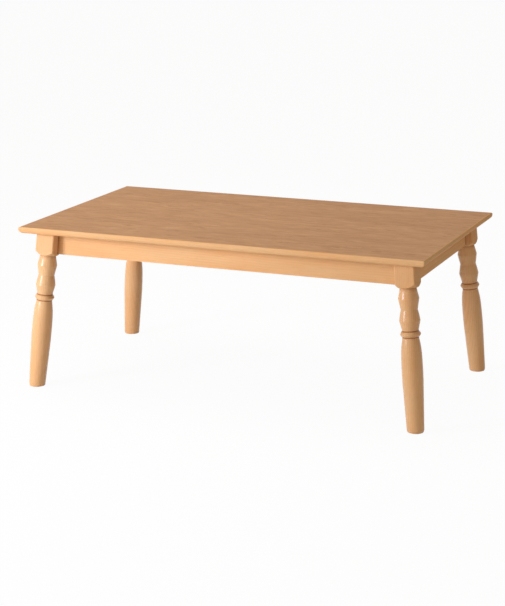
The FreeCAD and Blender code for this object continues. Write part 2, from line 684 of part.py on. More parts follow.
def heater_housing():
    """The bezel under the slats, the steel cover in its rebate, the folded reflector and the slotted guard."""
    mid = ("0", "0")
    bezel = centred_box("bezel_plate", ("bezel_side", "bezel_side", "bezel_thick"), mid, "bezel_bottom")
    hole = centred_box("bezel_mouth", ("bezel_hole", "bezel_hole", "bezel_thick + 2 * overrun"), mid,
                       "bezel_bottom - overrun")
    seat = centred_box("bezel_seat", ("cover_side + 2 * cover_gap", "cover_side + 2 * cover_gap",
                                      "bezel_rebate + overrun"), mid, "cover_bottom")
    tools = [hole, seat]
    middle = "slat_near + slat_width / 2"
    for tag, x, y in spots4(middle):
        tools.append(rod("bezel_hole_" + tag, "screw_radius + screw_hole_gap", "bezel_thick + 2 * overrun",
                         (x, y, "bezel_bottom - overrun"), sides=HEAD_SIDES))
    for tag, x, y in crosswise("guard_screw_place"):
        tools.append(rod("bezel_pilot_" + tag, "guard_screw_radius", "guard_screw_grip", (x, y, "bezel_bottom"),
                         sides=SHANK_SIDES))
    keep("heater_bezel", cut("bezel_cut", bezel, tools))

    shell = centred_box("cover_shell", ("cover_side", "cover_side", "cover_height"), mid, "cover_bottom")
    inside = centred_box("cover_inside", ("cover_side - 2 * cover_wall", "cover_side - 2 * cover_wall",
                                          "cover_height - cover_wall + overrun"), mid, "cover_bottom - overrun")
    tools = [inside]
    for side, sign in (("left", "-"), ("right", "")):
        for i in range(VENT_COUNT):
            step = i - (VENT_COUNT - 1) / 2
            tools.append(centred_box(f"vent_{side}_{i}", ("vent_length", "vent_width", "cover_wall + 2 * overrun"),
                                     (f"{sign}vent_offset", f"{step} * vent_pitch"), "cover_top - overrun"))
    for i, sign in enumerate(("-", "")):
        tools.append(rod(f"cover_screw_hole_{i}", "guard_screw_radius", "2 * overrun",
                         (f"{sign}motor_screw_place", "0", "cover_top - overrun"), sides=SHANK_SIDES))
    keep("heater_cover", cut("cover_cut", shell, tools))

    rim, foot = "reflector_side / 2", "cover_bottom"
    near = "tube_offset - trough_half_width"
    far = "tube_offset + trough_half_width"
    low = [(f"-({rim})", foot), (f"-({far})", "reflector_trough"), (f"-({near})", "reflector_trough"),
           (f"trough_slope_run - ({near})", "reflector_flat"), (f"{near} - trough_slope_run", "reflector_flat"),
           (near, "reflector_trough"), (far, "reflector_trough"), (rim, foot)]
    high = [(y, f"{z} + reflector_thick") for y, z in reversed(low[1:-1])]
    brim = [(f"{rim} - reflector_thick / 2", "cover_bottom + reflector_thick")]
    other = [(f"reflector_thick / 2 - {rim}", "cover_bottom + reflector_thick")]
    fold = extruded("reflector_fold", "YZ_Plane", low + brim + high + other, "reflector_side")
    fan_hole = rod("reflector_hole", "fan_hole_radius", "4 * overrun", ("0", "0", "reflector_flat - 2 * overrun"))
    keep("reflector", cut("reflector_cut", fold, [fan_hole]))

    flange_low = "bezel_bottom - guard_thick"
    flange = centred_box("guard_flange", ("guard_flange_side", "guard_flange_side", "guard_thick"), mid, flange_low)
    basin = frustum("guard_basin", "0", "bezel_bottom - guard_depth")
    hollow = frustum("guard_hollow", "guard_thick", "bezel_bottom - guard_depth + guard_thick")
    tools = [hollow]
    for row in range(GUARD_SLOT_ROWS):
        step = row - (GUARD_SLOT_ROWS - 1) / 2
        for side, sign in (("left", "-"), ("right", "")):
            middle = f"{sign}(guard_slot_length + guard_slot_rib) / 2"
            size = ("guard_slot_length", "guard_slot_pitch * guard_slot_share", "guard_thick + 2 * overrun")
            tools.append(centred_box(f"guard_slot_{side}_{row}", size, (middle, f"{step} * guard_slot_pitch"),
                                     "bezel_bottom - guard_depth - overrun"))
    for tag, x, y in crosswise("guard_screw_place"):
        tools.append(rod("guard_hole_" + tag, "guard_screw_radius", "guard_thick + 2 * overrun",
                         (x, y, f"{flange_low} - overrun"), sides=SHANK_SIDES))
    keep("heater_guard", cut("guard_cut", joined("guard_blank", [flange, basin]), tools))


def frustum(name, inset, low):
    """The tapering basin of the guard, from its floor to just past its mouth."""
    made = doc.addObject("Part::Wedge", name)
    floor, mouth = f"guard_floor_side / 2 - {inset}", f"guard_mouth / 2 - {inset}"
    top = "guard_depth" if inset == "0" else f"guard_depth - {inset}"
    for prop, formula in (("Xmin", f"-({floor})"), ("Xmax", floor), ("Zmin", f"-({floor})"), ("Zmax", floor),
                          ("X2min", f"-({mouth})"), ("X2max", mouth), ("Z2min", f"-({mouth})"), ("Z2max", mouth),
                          ("Ymin", "0"), ("Ymax", top)):
        bind(made, prop, formula)
    made.Placement.Rotation = FreeCAD.Rotation(X, 90)
    return put(made, ("0", "0", low))


def heaters():
    """Two quartz tubes with their windings, ceramic caps and the clips that hang them from the reflector."""
    caps, clips = [], []
    half = "tube_length / 2"
    for side, sign in (("front", "-"), ("back", "")):
        y = f"{sign}tube_offset"
        out = rod(f"tube_out_{side}", "tube_radius", "tube_length", (f"-{half}", y, "tube_level"), "x")
        bore = rod(f"tube_bore_{side}", "tube_radius - tube_wall", "tube_length + 2 * overrun",
                   (f"-{half} - overrun", y, "tube_level"), "x")
        keep(f"quartz_tube_{side}", cut(f"tube_{side}", out, [bore]))
        keep(f"heating_coil_{side}", rod(f"coil_{side}", "coil_radius", "tube_length + 2 * coil_seat",
                                         (f"-{half} - coil_seat", y, "tube_level"), "x"))
        cap = rod(f"cap_{side}", "cap_radius", "cap_grip + cap_end", (f"-{half} - cap_end", y, "tube_level"), "x")
        grip = rod(f"cap_grip_{side}", "tube_radius", "cap_grip + overrun", (f"-{half}", y, "tube_level"), "x")
        seat = rod(f"cap_seat_{side}", "coil_radius", "coil_seat + overrun",
                   (f"-{half} - coil_seat", y, "tube_level"), "x")
        cap = cut(f"cap_cut_{side}", cap, [grip, seat])
        caps += [cap, mirrored(f"cap_right_{side}", cap, X)]
        low = "tube_level - cap_radius - clip_chin"
        clip = centred_box(f"clip_{side}", ("clip_thick", "clip_width", f"reflector_trough - ({low})"),
                           (f"-({half} + cap_end / 2)", y), low)
        ring = rod(f"clip_ring_{side}", "cap_radius", "clip_width",
                   (f"-{half} - clip_width / 2", y, "tube_level"), "x")
        clip = cut(f"clip_cut_{side}", clip, [ring])
        clips += [clip, mirrored(f"clip_right_{side}", clip, X)]
    keep("tube_end_caps", group("cap_group", caps))
    keep("tube_clips", group("clip_group", clips))


def fan():
    """The motor under the cover, its shaft and the bladed wheel over the reflector's hole."""
    can = rod("motor_can", "motor_radius", "motor_height", ("0", "0", "motor_bottom"))
    bush = rod("motor_bush", "motor_bush_radius", "motor_bush_height + overrun",
               ("0", "0", "motor_bottom - motor_bush_height"))
    bore_top = "motor_bush_height + shaft_in_motor + shaft_gap"
    bore = rod("motor_bore", "shaft_radius + shaft_gap", f"{bore_top} + overrun",
               ("0", "0", "motor_bottom - motor_bush_height - overrun"))
    taps = [rod(f"motor_tap_{i}", "guard_screw_radius", "guard_screw_grip",
                (f"{sign}motor_screw_place", "0", "cover_top - cover_wall - guard_screw_grip"),
                sides=SHANK_SIDES) for i, sign in enumerate(("-", ""))]
    keep("fan_motor", cut("motor_cut", joined("motor_body", [can, bush]), [bore, *taps]))
    hub_low = "hub_top - hub_height"
    keep("fan_shaft", rod("shaft", "shaft_radius", f"motor_bottom + shaft_in_motor - ({hub_low})",
                          ("0", "0", hub_low)))
    pieces = [rod("hub", "hub_radius", "hub_height", ("0", "0", hub_low))]
    for i in range(BLADE_COUNT):
        blade = box(f"blade_{i}", ("blade_reach - hub_radius / 2", "blade_chord", "blade_thick"), ("0", "0", "0"))
        turn = FreeCAD.Rotation(Z, 360 * i / BLADE_COUNT)
        tilt = FreeCAD.Rotation(X, BLADE_TILT_DEG)
        start = turn.multVec(FreeCAD.Vector(number("hub_radius / 2"), 0, 0))
        shift = turn.multVec(tilt.multVec(FreeCAD.Vector(0, -number("blade_chord") / 2, -number("blade_thick") / 2)))
        level = number("hub_top - hub_height / 2")
        blade.Placement = FreeCAD.Placement(start + shift + Z * level, turn.multiply(tilt))
        for axis in "xyz":
            blade.setExpression(f"Placement.Base.{axis}", None)
        pieces.append(blade)
    bore = rod("hub_bore", "shaft_radius", "hub_height + 2 * overrun", ("0", "0", f"{hub_low} - overrun"))
    keep("fan_impeller", cut("impeller_cut", joined("impeller_body", pieces), [bore]))


def electrics():
    """The thermostat, fuse and terminals on the reflector, and the inlet at the back of the bezel."""
    flat = "reflector_flat + reflector_thick"
    keep("thermostat", centred_box("thermostat_case", ("thermostat_length", "thermostat_width", "thermostat_height"),
                                   ("-thermostat_place", "0"), flat))
    keep("terminal_block", centred_box("terminal_case", ("terminal_length", "terminal_width", "terminal_height"),
                                       ("-terminal_place", "0"), flat))
    keep("thermal_fuse", rod("fuse_case", "fuse_radius", "fuse_length",
                             ("fuse_place - fuse_length / 2", "0", f"{flat} + fuse_radius"), "x"))
    face, low = "bezel_side / 2", "slat_bottom - socket_height"
    case = centred_box("socket_case", ("socket_width", "socket_depth", "socket_height"),
                       ("0", f"{face} + socket_depth / 2"), low)
    mouth = box("socket_mouth", ("socket_width - 2 * socket_wall", "socket_depth", "socket_height - 2 * socket_wall"),
                ("socket_wall - socket_width / 2", f"{face} + socket_floor", f"{low} + socket_wall"))
    root = (f"{face} + socket_floor - inlet_pin_root", f"{low} + socket_height / 2")
    holes, pins = [
        [rod(f"{name}_{i}", "inlet_pin_radius", "inlet_pin_length + inlet_pin_root",
             (f"{sign}inlet_pin_spacing / 2", *root), "y") for i, sign in enumerate(("-", ""))]
        for name in ("pin_hole", "pin")
    ]
    keep("inlet_socket", cut("socket_cut", case, [mouth, *holes]))
    keep("inlet_pins", group("pin_group", pins))


def headed(name, spot, facing, head, shank):
    """A screw whose head lies under the spot and whose shank goes the way it faces."""
    x, y, z = spot
    top = f"{z} - ({head[1]})" if facing == "z" else z
    cap = rod(name + "_head", head[0], head[1], (x, y, top), sides=HEAD_SIDES)
    low = z if facing == "z" else f"{z} - ({shank[1]})"
    stem = rod(name + "_stem", shank[0], shank[1], (x, y, low), sides=SHANK_SIDES)
    return joined(name, [cap, stem])


def heater_fasteners():
    """Screws of the bezel, the guard and the motor."""
    head = ("screw_head_radius", "screw_head_height")
    screws = [headed("heater_screw_" + tag, (x, y, "bezel_bottom"), "z", head,
                     ("screw_radius", "bezel_thick + heater_screw_grip"))
              for tag, x, y in spots4("slat_near + slat_width / 2")]
    keep("heater_screws", group("heater_screw_group", screws))
    head = ("guard_screw_head", "guard_screw_head_height")
    screws = [headed("guard_screw_" + tag, (x, y, "bezel_bottom - guard_thick"), "z", head,
                     ("guard_screw_radius", "guard_thick + guard_screw_grip"))
              for tag, x, y in crosswise("guard_screw_place")]
    keep("guard_screws", group("guard_screw_group", screws))
    screws = [headed(f"motor_screw_{i}", (f"{sign}motor_screw_place", "0", "cover_top"), "-z", head,
                     ("guard_screw_radius", "cover_wall + guard_screw_grip")) for i, sign in enumerate(("-", ""))]
    keep("motor_screws", group("motor_screw_group", screws))


def add_followers():
    """Sizes that need the leg's lean: where its head stands, and how far the head's corner comes inwards."""
    last = len(SIZES) + len(DERIVED)
    more = {
        "head_x": "foot_x - splay_run_x * frame_top / splay_height",
        "head_y": "foot_y - splay_run_y * frame_top / splay_height",
        "rest_pad_base": "board_under - rest_pad_thick",
        "block_corner_reach": "side_rail_inner - head_x + front_rail_inner - head_y + block_side",
        "flat_place": "(block_corner_reach - corner_flat) * sqrt(0.5)",
    }
    for row, (name, formula) in enumerate(more.items(), last + 1):
        sheet.set(f"A{row}", name)
        sheet.set(f"B{row}", "=" + formula)
        sheet.setAlias(f"B{row}", name)
        NAMES.add(name)
    doc.recompute()


def check_and_write():
    """Stop on any failed object or bad solid, then write one file for each sub-part."""
    doc.recompute()
    bad = [f"{thing.Name} {thing.State}" for thing in doc.Objects
           if "Invalid" in thing.State or "Error" in thing.State]
    for label, thing in PARTS.items():
        if thing.Shape.isNull() or not thing.Shape.isValid() or not thing.Shape.Solids:
            bad.append(label)
    if bad:
        raise SystemExit("failed: " + ", ".join(bad))
    os.makedirs("parts", exist_ok=True)
    for label, thing in PARTS.items():
        thing.Shape.exportStep(f"parts/{label}.step")
        print(label, len(thing.Shape.Solids), "solids", round(thing.Shape.Volume, 1), "cubic mm")
    print(len(PARTS), "sub-parts")


add_followers()
board()
legs()
rails()
lattice()
corners()
heater_housing()
heaters()
fan()
electrics()
heater_fasteners()
check_and_write()
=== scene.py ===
# %% [markdown]
# A kotatsu is a low table with a heater under it. Its board lies loose on a frame of four rails and four
# turned legs. The solids come in already built and in their places, so this script gives them their wood,
# metal and felt, makes again the few pieces whose detail is finer than the solids, and sets the light and
# the camera.

# %% Load the frame
import math

import bmesh
import bpy
from mathutils import Matrix, Vector


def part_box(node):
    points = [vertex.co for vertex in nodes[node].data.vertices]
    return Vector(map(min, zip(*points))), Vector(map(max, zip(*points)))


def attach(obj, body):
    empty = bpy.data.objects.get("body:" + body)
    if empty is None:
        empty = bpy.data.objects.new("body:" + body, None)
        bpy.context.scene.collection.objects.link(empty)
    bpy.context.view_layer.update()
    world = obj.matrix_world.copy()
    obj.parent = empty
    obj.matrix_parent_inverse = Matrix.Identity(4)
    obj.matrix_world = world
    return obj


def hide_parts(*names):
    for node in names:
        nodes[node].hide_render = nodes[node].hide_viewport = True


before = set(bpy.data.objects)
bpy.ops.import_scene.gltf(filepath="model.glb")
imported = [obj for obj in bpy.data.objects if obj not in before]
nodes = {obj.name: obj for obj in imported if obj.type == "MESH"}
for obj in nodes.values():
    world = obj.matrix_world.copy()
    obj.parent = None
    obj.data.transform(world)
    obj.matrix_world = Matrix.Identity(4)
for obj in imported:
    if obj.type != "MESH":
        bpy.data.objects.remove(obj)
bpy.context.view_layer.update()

# %% [markdown]
# The photograph was taken from the front right, from about the height of a seated person's eyes, with a
# long lens. The camera's place and angles were fitted to the four corners of the board and the four feet.
# The fit gives the focal length in pixels along the picture's long side, and the sensor's width makes it
# millimetres.

# %% Camera
IMAGE_LONG_SIDE = 606
FOCAL_PIXELS = 1710.6
SENSOR_MM = 36.0
FARTHEST_SEEN = 100
CAMERA_PLACE = (1.6141, -3.923, 1.2895)
CAMERA_YAW, CAMERA_PITCH, CAMERA_ROLL = 22.613, 14.412, -0.306

lens = bpy.data.cameras.new("camera")
lens.lens = SENSOR_MM * FOCAL_PIXELS / IMAGE_LONG_SIDE
lens.sensor_width = SENSOR_MM
lens.clip_end = FARTHEST_SEEN
camera = bpy.data.objects.new("camera", lens)
bpy.context.scene.collection.objects.link(camera)
turn = Matrix.Rotation(math.radians(CAMERA_YAW), 4, "Z")
turn = turn @ Matrix.Rotation(math.radians(90 - CAMERA_PITCH), 4, "X")
roll = Matrix.Rotation(math.radians(CAMERA_ROLL), 4, "Z")
camera.matrix_world = Matrix.Translation(CAMERA_PLACE) @ turn @ roll
bpy.context.scene.camera = camera
print("lens", round(lens.lens, 1), "mm")


# %% [markdown]
# Every material here is a small network of shader nodes, which in the editor are dragged in and joined by
# hand. Here one helper adds a node, sets its properties and fills its inputs with either a value or
# another node's output, so a network reads like a list of steps. The others are the steps that come back
# most often.

# %% Shader steps
WHITE = (1.0, 1.0, 1.0)


def add(tree, kind, props=None, **inputs):
    """One shader node; inputs are named by their socket, with _ for a space, or numbered as i0, i1."""
    made = tree.nodes.new("ShaderNode" + kind)
    for key, value in (props or {}).items():
        setattr(made, key, value)
    for key, value in inputs.items():
        number = key[1:] if key[0] == "i" and key[1:].isdigit() else None
        socket = made.inputs[int(number)] if number else made.inputs[key.replace("_", " ")]
        if isinstance(value, bpy.types.NodeSocket):
            tree.links.new(value, socket)
        else:
            socket.default_value = value
    return made


def calc(tree, operation, a, b=0.0, c=0.0):
    """One step of arithmetic on plain numbers."""
    return add(tree, "Math", {"operation": operation}, i0=a, i1=b, i2=c).outputs[0]


def mapped(tree, value, source, target):
    """Carry a value from the range source over to the range target, held at both ends."""
    return add(tree, "MapRange", Value=value, From_Min=source[0], From_Max=source[1],
               To_Min=target[0], To_Max=target[1]).outputs[0]


def ramp(tree, factor, stops):
    """A colour for every factor from 0 to 1, blended between stops of a place and a colour."""
    made = add(tree, "ValToRGB", Fac=factor)
    bar = made.color_ramp.elements
    while len(bar) < len(stops):
        bar.new(0.5)
    for element, (stop, colour) in zip(bar, stops):
        element.position = stop
        element.color = (*colour, 1)
    return made.outputs["Color"]


def multiplied(tree, first, second):
    """Two colours multiplied: white leaves a colour as it is, and anything else stains it."""
    return add(tree, "VectorMath", {"operation": "MULTIPLY"}, i0=first, i1=second).outputs[0]


def toned(tree, colour, tone):
    """A colour made darker or lighter: 1 leaves it as it is."""
    return add(tree, "VectorMath", {"operation": "SCALE"}, i0=colour, Scale=tone).outputs[0]


# %% [markdown]
# A material is made with only its shader and its output. What is the same all over, such as how metallic
# it is, is set on the shader itself. What changes from place to place, such as colour and roughness, is
# fed in from other nodes afterwards. A CAD piece then gets the material in place of its plain one.

# %% Materials
FULL_RANGE = (0.0, 1.0)


def new_material(name, **surface):
    """A material with its shader and output, and nothing else yet."""
    made = bpy.data.materials.new(name)
    made.use_nodes = True
    tree = made.node_tree
    tree.nodes.clear()
    shader = add(tree, "BsdfPrincipled", **surface)
    tree.links.new(shader.outputs[0], add(tree, "OutputMaterial").inputs["Surface"])
    return made, tree, shader


def feed(tree, shader, **sources):
    """Join other nodes' outputs to the shader's inputs, named with _ for a space."""
    for key, source in sources.items():
        tree.links.new(source, shader.inputs[key.replace("_", " ")])


def dress(material, *names):
    """Give CAD nodes a material in place of their plain one."""
    for name in names:
        piece = nodes[name]
        piece.data.materials.clear()
        piece.data.materials.append(material)
    print(material.name, "on", ", ".join(names))


# %% [markdown]
# Wood changes slowly along its grain and quickly across it. So Object coordinates are turned until X runs
# along the grain, and noise is read from them with a low rate in X and a high one in Y and Z, which draws
# it out into streaks. Object coordinates go right through the piece, so the pattern meets round every
# corner as it does in real solid wood, which a flat picture laid on each face would not.

# %% Grain
# A streak is a noise: its rate along the grain and across it in a metre, its detail and its roughness.
FIBRE_LIFT = 0.5
GRAIN_TURNS = {"x": (0, 0, 0), "y": (0, 0, math.pi / 2), "z": (0, math.pi / 2, 0)}


def along_grain(tree, axis, offset):
    """Object coordinates turned so that X runs along the grain, and moved on by the offset."""
    coords = add(tree, "TexCoord").outputs["Object"]
    return add(tree, "Mapping", Vector=coords, Location=offset, Rotation=GRAIN_TURNS[axis]).outputs[0]


def streaks(tree, where, streak):
    """Noise from 0 to 1 that is drawn out along the grain."""
    along, across, detail, rough = streak
    spot = multiplied(tree, where, (along, across, across))
    return add(tree, "TexNoise", Vector=spot, Scale=1.0, Detail=detail, Roughness=rough).outputs[0]


def either_way(tree, noise):
    """The same noise, but round 0 instead of round a half."""
    return calc(tree, "SUBTRACT", noise, 0.5)


def grain_relief(tree, fibre, pits, strength, depth):
    """A surface direction in which fibres stand a little proud and pores are sunk, by depth in metres."""
    height = calc(tree, "SUBTRACT", calc(tree, "MULTIPLY", fibre, FIBRE_LIFT), pits)
    return add(tree, "Bump", Strength=strength, Distance=depth, Height=height).outputs[0]


print("grain runs along", ", ".join(GRAIN_TURNS))

# %% [markdown]
# The rails, the edging and the legs are solid alder. A board is cut from growth rings round the tree's
# pith, so the pattern is the distance from a pith line that runs beside the piece, counted in rings. The
# line is tilted against the piece, as no tree is sawn quite straight, and slow noise bends the rings.
# Each ring begins pale and ends in a narrow band of darker late wood. A Wave texture set to rings could
# draw them too, but with plain arithmetic the pith, the tilt and the width of a ring are all things that
# a sawyer could measure. All lengths are in metres.

# %% Growth rings
RING_SWAY = (2.3, 9.0, 4.0, 0.55)
RING_DRIFT = (1.1, 2.5, 2.0, 0.5)
DRIFT_TIMES_SWAY = 4
LATE_WOOD = ((0.0, 0.25), (0.12, 0.0), (0.62, 0.22), (0.9, 1.0), (1.0, 0.25))


def late_wood(tree, where, pith, pitch, tilt, warp):
    """The share of late wood at a point; pith is how far the tree's centre lies to the side and below."""
    along, side, up = add(tree, "SeparateXYZ", Vector=where).outputs
    sway = either_way(tree, streaks(tree, where, RING_SWAY))
    drift = either_way(tree, streaks(tree, where, RING_DRIFT))
    across = calc(tree, "ADD", side, calc(tree, "MULTIPLY", sway, warp))
    across = calc(tree, "ADD", across, pith[0])
    below = calc(tree, "ADD", calc(tree, "MULTIPLY_ADD", along, tilt, up), pith[1])
    below = calc(tree, "MULTIPLY_ADD", drift, DRIFT_TIMES_SWAY * warp, below)
    square = calc(tree, "ADD", calc(tree, "MULTIPLY", across, across), calc(tree, "MULTIPLY", below, below))
    rings = calc(tree, "DIVIDE", calc(tree, "SQRT", square), pitch)
    return ramp(tree, calc(tree, "FRACT", rings), [(stop, (grey,) * 3) for stop, grey in LATE_WOOD])


print("each ring has", len(LATE_WOOD), "tones from early to late wood")

# %% [markdown]
# Grooves and inner corners are made darker and redder, which is painted shade in the wood's colour. That
# could be painted by hand. Here Ambient Occlusion measures how open each point is to what lies within its
# reach, and a ramp turns that into painted shade. A leg looks only at its own grooves, and a rail also at
# the board and the heads.

# %% Painted shade in the corners
# The tint, reach and levels of the painted shade in grooves and inner corners.
PAINTED_SHADE_TINT = (0.50, 0.33, 0.22)
SHADE_REACH = 0.012
SHADE_RAYS = 8
SHADED_BELOW, UNSHADED_ABOVE = 0.50, 0.90


def painted_corner_shade(tree, colour, alone):
    """Painted shade: darker and redder in grooves and inner corners; alone counts only the piece's own
    surface.
    """
    props = {"samples": SHADE_RAYS, "only_local": alone}
    open_share = add(tree, "AmbientOcclusion", props, Distance=SHADE_REACH).outputs["AO"]
    return multiplied(tree, colour, ramp(tree, open_share, [(SHADED_BELOW, PAINTED_SHADE_TINT), (UNSHADED_ABOVE, WHITE)]))


print("stain reaches", SHADE_REACH * 1000, "mm")

# %% [markdown]
# Where the leg's ring meets its two necks there are creases, and a fine dark line of painted shade is drawn
# at each. The lines lie square to the leg's own axis, which leans outwards from the board to the foot. So
# the level of a point is its distance from the foot measured along that axis, which a dot product gives,
# and the two levels of the ring are darkened with painted shade. The lean, as a run to the side, a run to
# the front and a rise in millimetres, and the levels in metres are those that the solid legs were built
# with.

# %% Painted shade lines at the leg's ring
LEG_LEAN = (33.2, 24.8, 350.0)
RING_LINE_LEVELS = (0.2262, 0.2412)
CENTIMETRES = 100.0
LINE_HALF_WIDTH_CM, LINE_FADES_BY_CM = 0.05, 0.22


def ring_crease_shade(tree, colour, foot):
    """Two fine lines of painted shade where the leg's ring meets its necks, square to the leg's own leaning
    axis.
    """
    sideways = [-math.copysign(run, side) for run, side in zip(LEG_LEAN, foot)]
    axis = Vector(sideways + [LEG_LEAN[2]]).normalized()
    where = add(tree, "TexCoord").outputs["Object"]
    from_foot = add(tree, "VectorMath", {"operation": "SUBTRACT"}, i0=where, i1=(*foot, 0.0)).outputs[0]
    level = add(tree, "VectorMath", {"operation": "DOT_PRODUCT"}, i0=from_foot, i1=axis).outputs["Value"]
    gaps = [calc(tree, "ABSOLUTE", calc(tree, "SUBTRACT", level, line)) for line in RING_LINE_LEVELS]
    gap = calc(tree, "MULTIPLY", calc(tree, "MINIMUM", *gaps), CENTIMETRES)
    # Painted shade: dark at each crease, fading to white.
    painted_shade = ramp(tree, gap, [(LINE_HALF_WIDTH_CM, PAINTED_SHADE_TINT), (LINE_FADES_BY_CM, WHITE)])
    return multiplied(tree, colour, painted_shade)


print("ring lines at", RING_LINE_LEVELS, "m up the leg")

# %% [markdown]
# Solid alder is put together from these. Rings show strongly in some patches and hardly in others. Over
# them lie a broad drift of tone, fine fibres, short dark pores, and a blush that runs from cool to warm.
# The lacquer is a satin whose roughness drifts with the tone. A turned leg is polished on the lathe, and
# its square head is not, so the leg's roughness rises where the head begins.

# %% Solid wood
RING_PATCHES = (3.0, 16.0, 3.0, 0.6)
BROAD_DRIFT = (1.3, 7.0, 3.0, 0.5)
FIBRES = (16.0, 700.0, 3.0, 0.7)
PORES = (55.0, 1500.0, 1.0, 0.4)
BLUSH = (5.0, 30.0, 3.0, 0.6)
PATCH_EDGES, FAINT_SHARE, STRONG_SHARE = (0.35, 0.7), 0.25, 1.25
USUAL_NOISE = (0.25, 0.75)
BROAD_TONE, FIBRE_TONE = (0.90, 1.08), (-0.06, 0.05)
PORE_EDGES, PORE_DARKNESS = (0.66, 0.78), (0.0, 0.22)
BLUSH_TINTS = ((0.32, (1.0, 1.05, 1.10)), (0.5, WHITE), (0.68, (1.0, 0.93, 0.86)))
SMOOTHER, ROUGHER = 0.05, 0.07
HEAD_BEGINS = (0.330, 0.340)


def wood(name, axis, offset, light, dark, pith, pitch, tilt, warp, figure, rough, gloss, matt_head=0.0,
         foot=None):
    """Lacquered solid wood; figure is how strongly its rings show, and foot is given for a leg only."""
    made, tree, shader = new_material(name, Specular_IOR_Level=gloss)
    where = along_grain(tree, axis, offset)
    rings = late_wood(tree, where, pith, pitch, tilt, warp)
    patches = mapped(tree, streaks(tree, where, RING_PATCHES), PATCH_EDGES,
                     (FAINT_SHARE * figure, STRONG_SHARE * figure))
    share = calc(tree, "MULTIPLY", patches, rings)
    colour = add(tree, "Mix", {"data_type": "RGBA"}, Factor=share, i6=(*light, 1), i7=(*dark, 1)).outputs[2]
    broad = streaks(tree, where, BROAD_DRIFT)
    fibre = streaks(tree, where, FIBRES)
    pores = mapped(tree, streaks(tree, where, PORES), PORE_EDGES, PORE_DARKNESS)
    tone = calc(tree, "ADD", mapped(tree, broad, USUAL_NOISE, BROAD_TONE),
                mapped(tree, fibre, USUAL_NOISE, FIBRE_TONE))
    colour = toned(tree, colour, calc(tree, "SUBTRACT", tone, pores))
    colour = multiplied(tree, colour, ramp(tree, streaks(tree, where, BLUSH), BLUSH_TINTS))
    # Painted shade in grooves and inner corners.
    colour = painted_corner_shade(tree, colour, alone=foot is not None)
    # A leg also gets painted shade lines at its ring's creases.
    if foot:
        colour = ring_crease_shade(tree, colour, foot)
    satin = mapped(tree, broad, FULL_RANGE, (rough - SMOOTHER, rough + ROUGHER))
    if matt_head:
        height = add(tree, "SeparateXYZ", Vector=add(tree, "TexCoord").outputs["Object"]).outputs[2]
        satin = calc(tree, "ADD", satin, mapped(tree, height, HEAD_BEGINS, (0.0, matt_head)))
    feed(tree, shader, Base_Color=colour, Roughness=satin,
         Normal=grain_relief(tree, fibre, pores, strength=0.10, depth=0.0006))
    return made


print("fibres change", round(FIBRES[1] / FIBRES[0]), "times as fast across the grain as along it")

# %% [markdown]
# The board's veneer is sliced thin across a lively log, so it has no rings to count: short streaks run
# along the table, bend round small knots that aren't quite there, and carry clusters of tiny dark dashes.
# Noise drawn out along the grain gives the streaks, and a slower noise pushes their place sideways to
# bend them.

# %% Veneer
VENEER_BENDS = (9.0, 26.0, 3.0, 0.6)
VENEER_STREAKS = (15.0, 105.0, 4.0, 0.62)
VENEER_PATCHES = (3.5, 15.0, 3.0, 0.55)
VENEER_FIBRES = (16.0, 650.0, 3.0, 0.7)
VENEER_DASHES = (34.0, 210.0, 2.0, 0.5)
DASH_CLUSTERS = (7.0, 17.0, 2.0, 0.5)
BEND_SIDEWAYS = 3.0
CLUSTER_EDGES, CLUSTER_SHARE = (0.48, 0.62), (0.2, 1.0)
DASH_EDGES, DASH_DARKNESS = (0.57, 0.68), (0.0, 0.8)
MIDDLE_TONE = 0.45
PATCH_CONTRAST, FIBRE_CONTRAST = 0.9, 0.7
VENEER_SATIN_SPREAD = 0.06


def veneer(name, light, dark, offset, swirl, contrast, rough, gloss):
    """A sliced veneer that runs along the table, with short bent streaks and dashes along its grain."""
    made, tree, shader = new_material(name, Specular_IOR_Level=gloss)
    where = along_grain(tree, "x", offset)
    push = calc(tree, "MULTIPLY", either_way(tree, streaks(tree, where, VENEER_BENDS)), swirl)
    pushed = add(tree, "CombineXYZ", X=push, Y=calc(tree, "MULTIPLY", push, BEND_SIDEWAYS)).outputs[0]
    bent = add(tree, "VectorMath", {"operation": "ADD"}, i0=where, i1=pushed).outputs[0]
    streak = streaks(tree, bent, VENEER_STREAKS)
    fibre = streaks(tree, bent, VENEER_FIBRES)
    cluster = mapped(tree, streaks(tree, where, DASH_CLUSTERS), CLUSTER_EDGES, CLUSTER_SHARE)
    dash = mapped(tree, streaks(tree, bent, VENEER_DASHES), DASH_EDGES, DASH_DARKNESS)
    dash = calc(tree, "MULTIPLY", cluster, dash)
    mixed = MIDDLE_TONE
    for noise, strength in ((streak, contrast), (streaks(tree, bent, VENEER_PATCHES), PATCH_CONTRAST),
                            (fibre, FIBRE_CONTRAST)):
        mixed = calc(tree, "MULTIPLY_ADD", either_way(tree, noise), strength, mixed)
    mixed = calc(tree, "ADD", mixed, dash)
    middle = tuple((a + b) / 2 for a, b in zip(light, dark))
    satin = (rough - VENEER_SATIN_SPREAD, rough + VENEER_SATIN_SPREAD)
    feed(tree, shader, Base_Color=ramp(tree, mixed, [(0.0, light), (MIDDLE_TONE, middle), (1.0, dark)]),
         Roughness=mapped(tree, streak, FULL_RANGE, satin),
         Normal=grain_relief(tree, fibre, dash, strength=0.08, depth=0.0004))
    return made


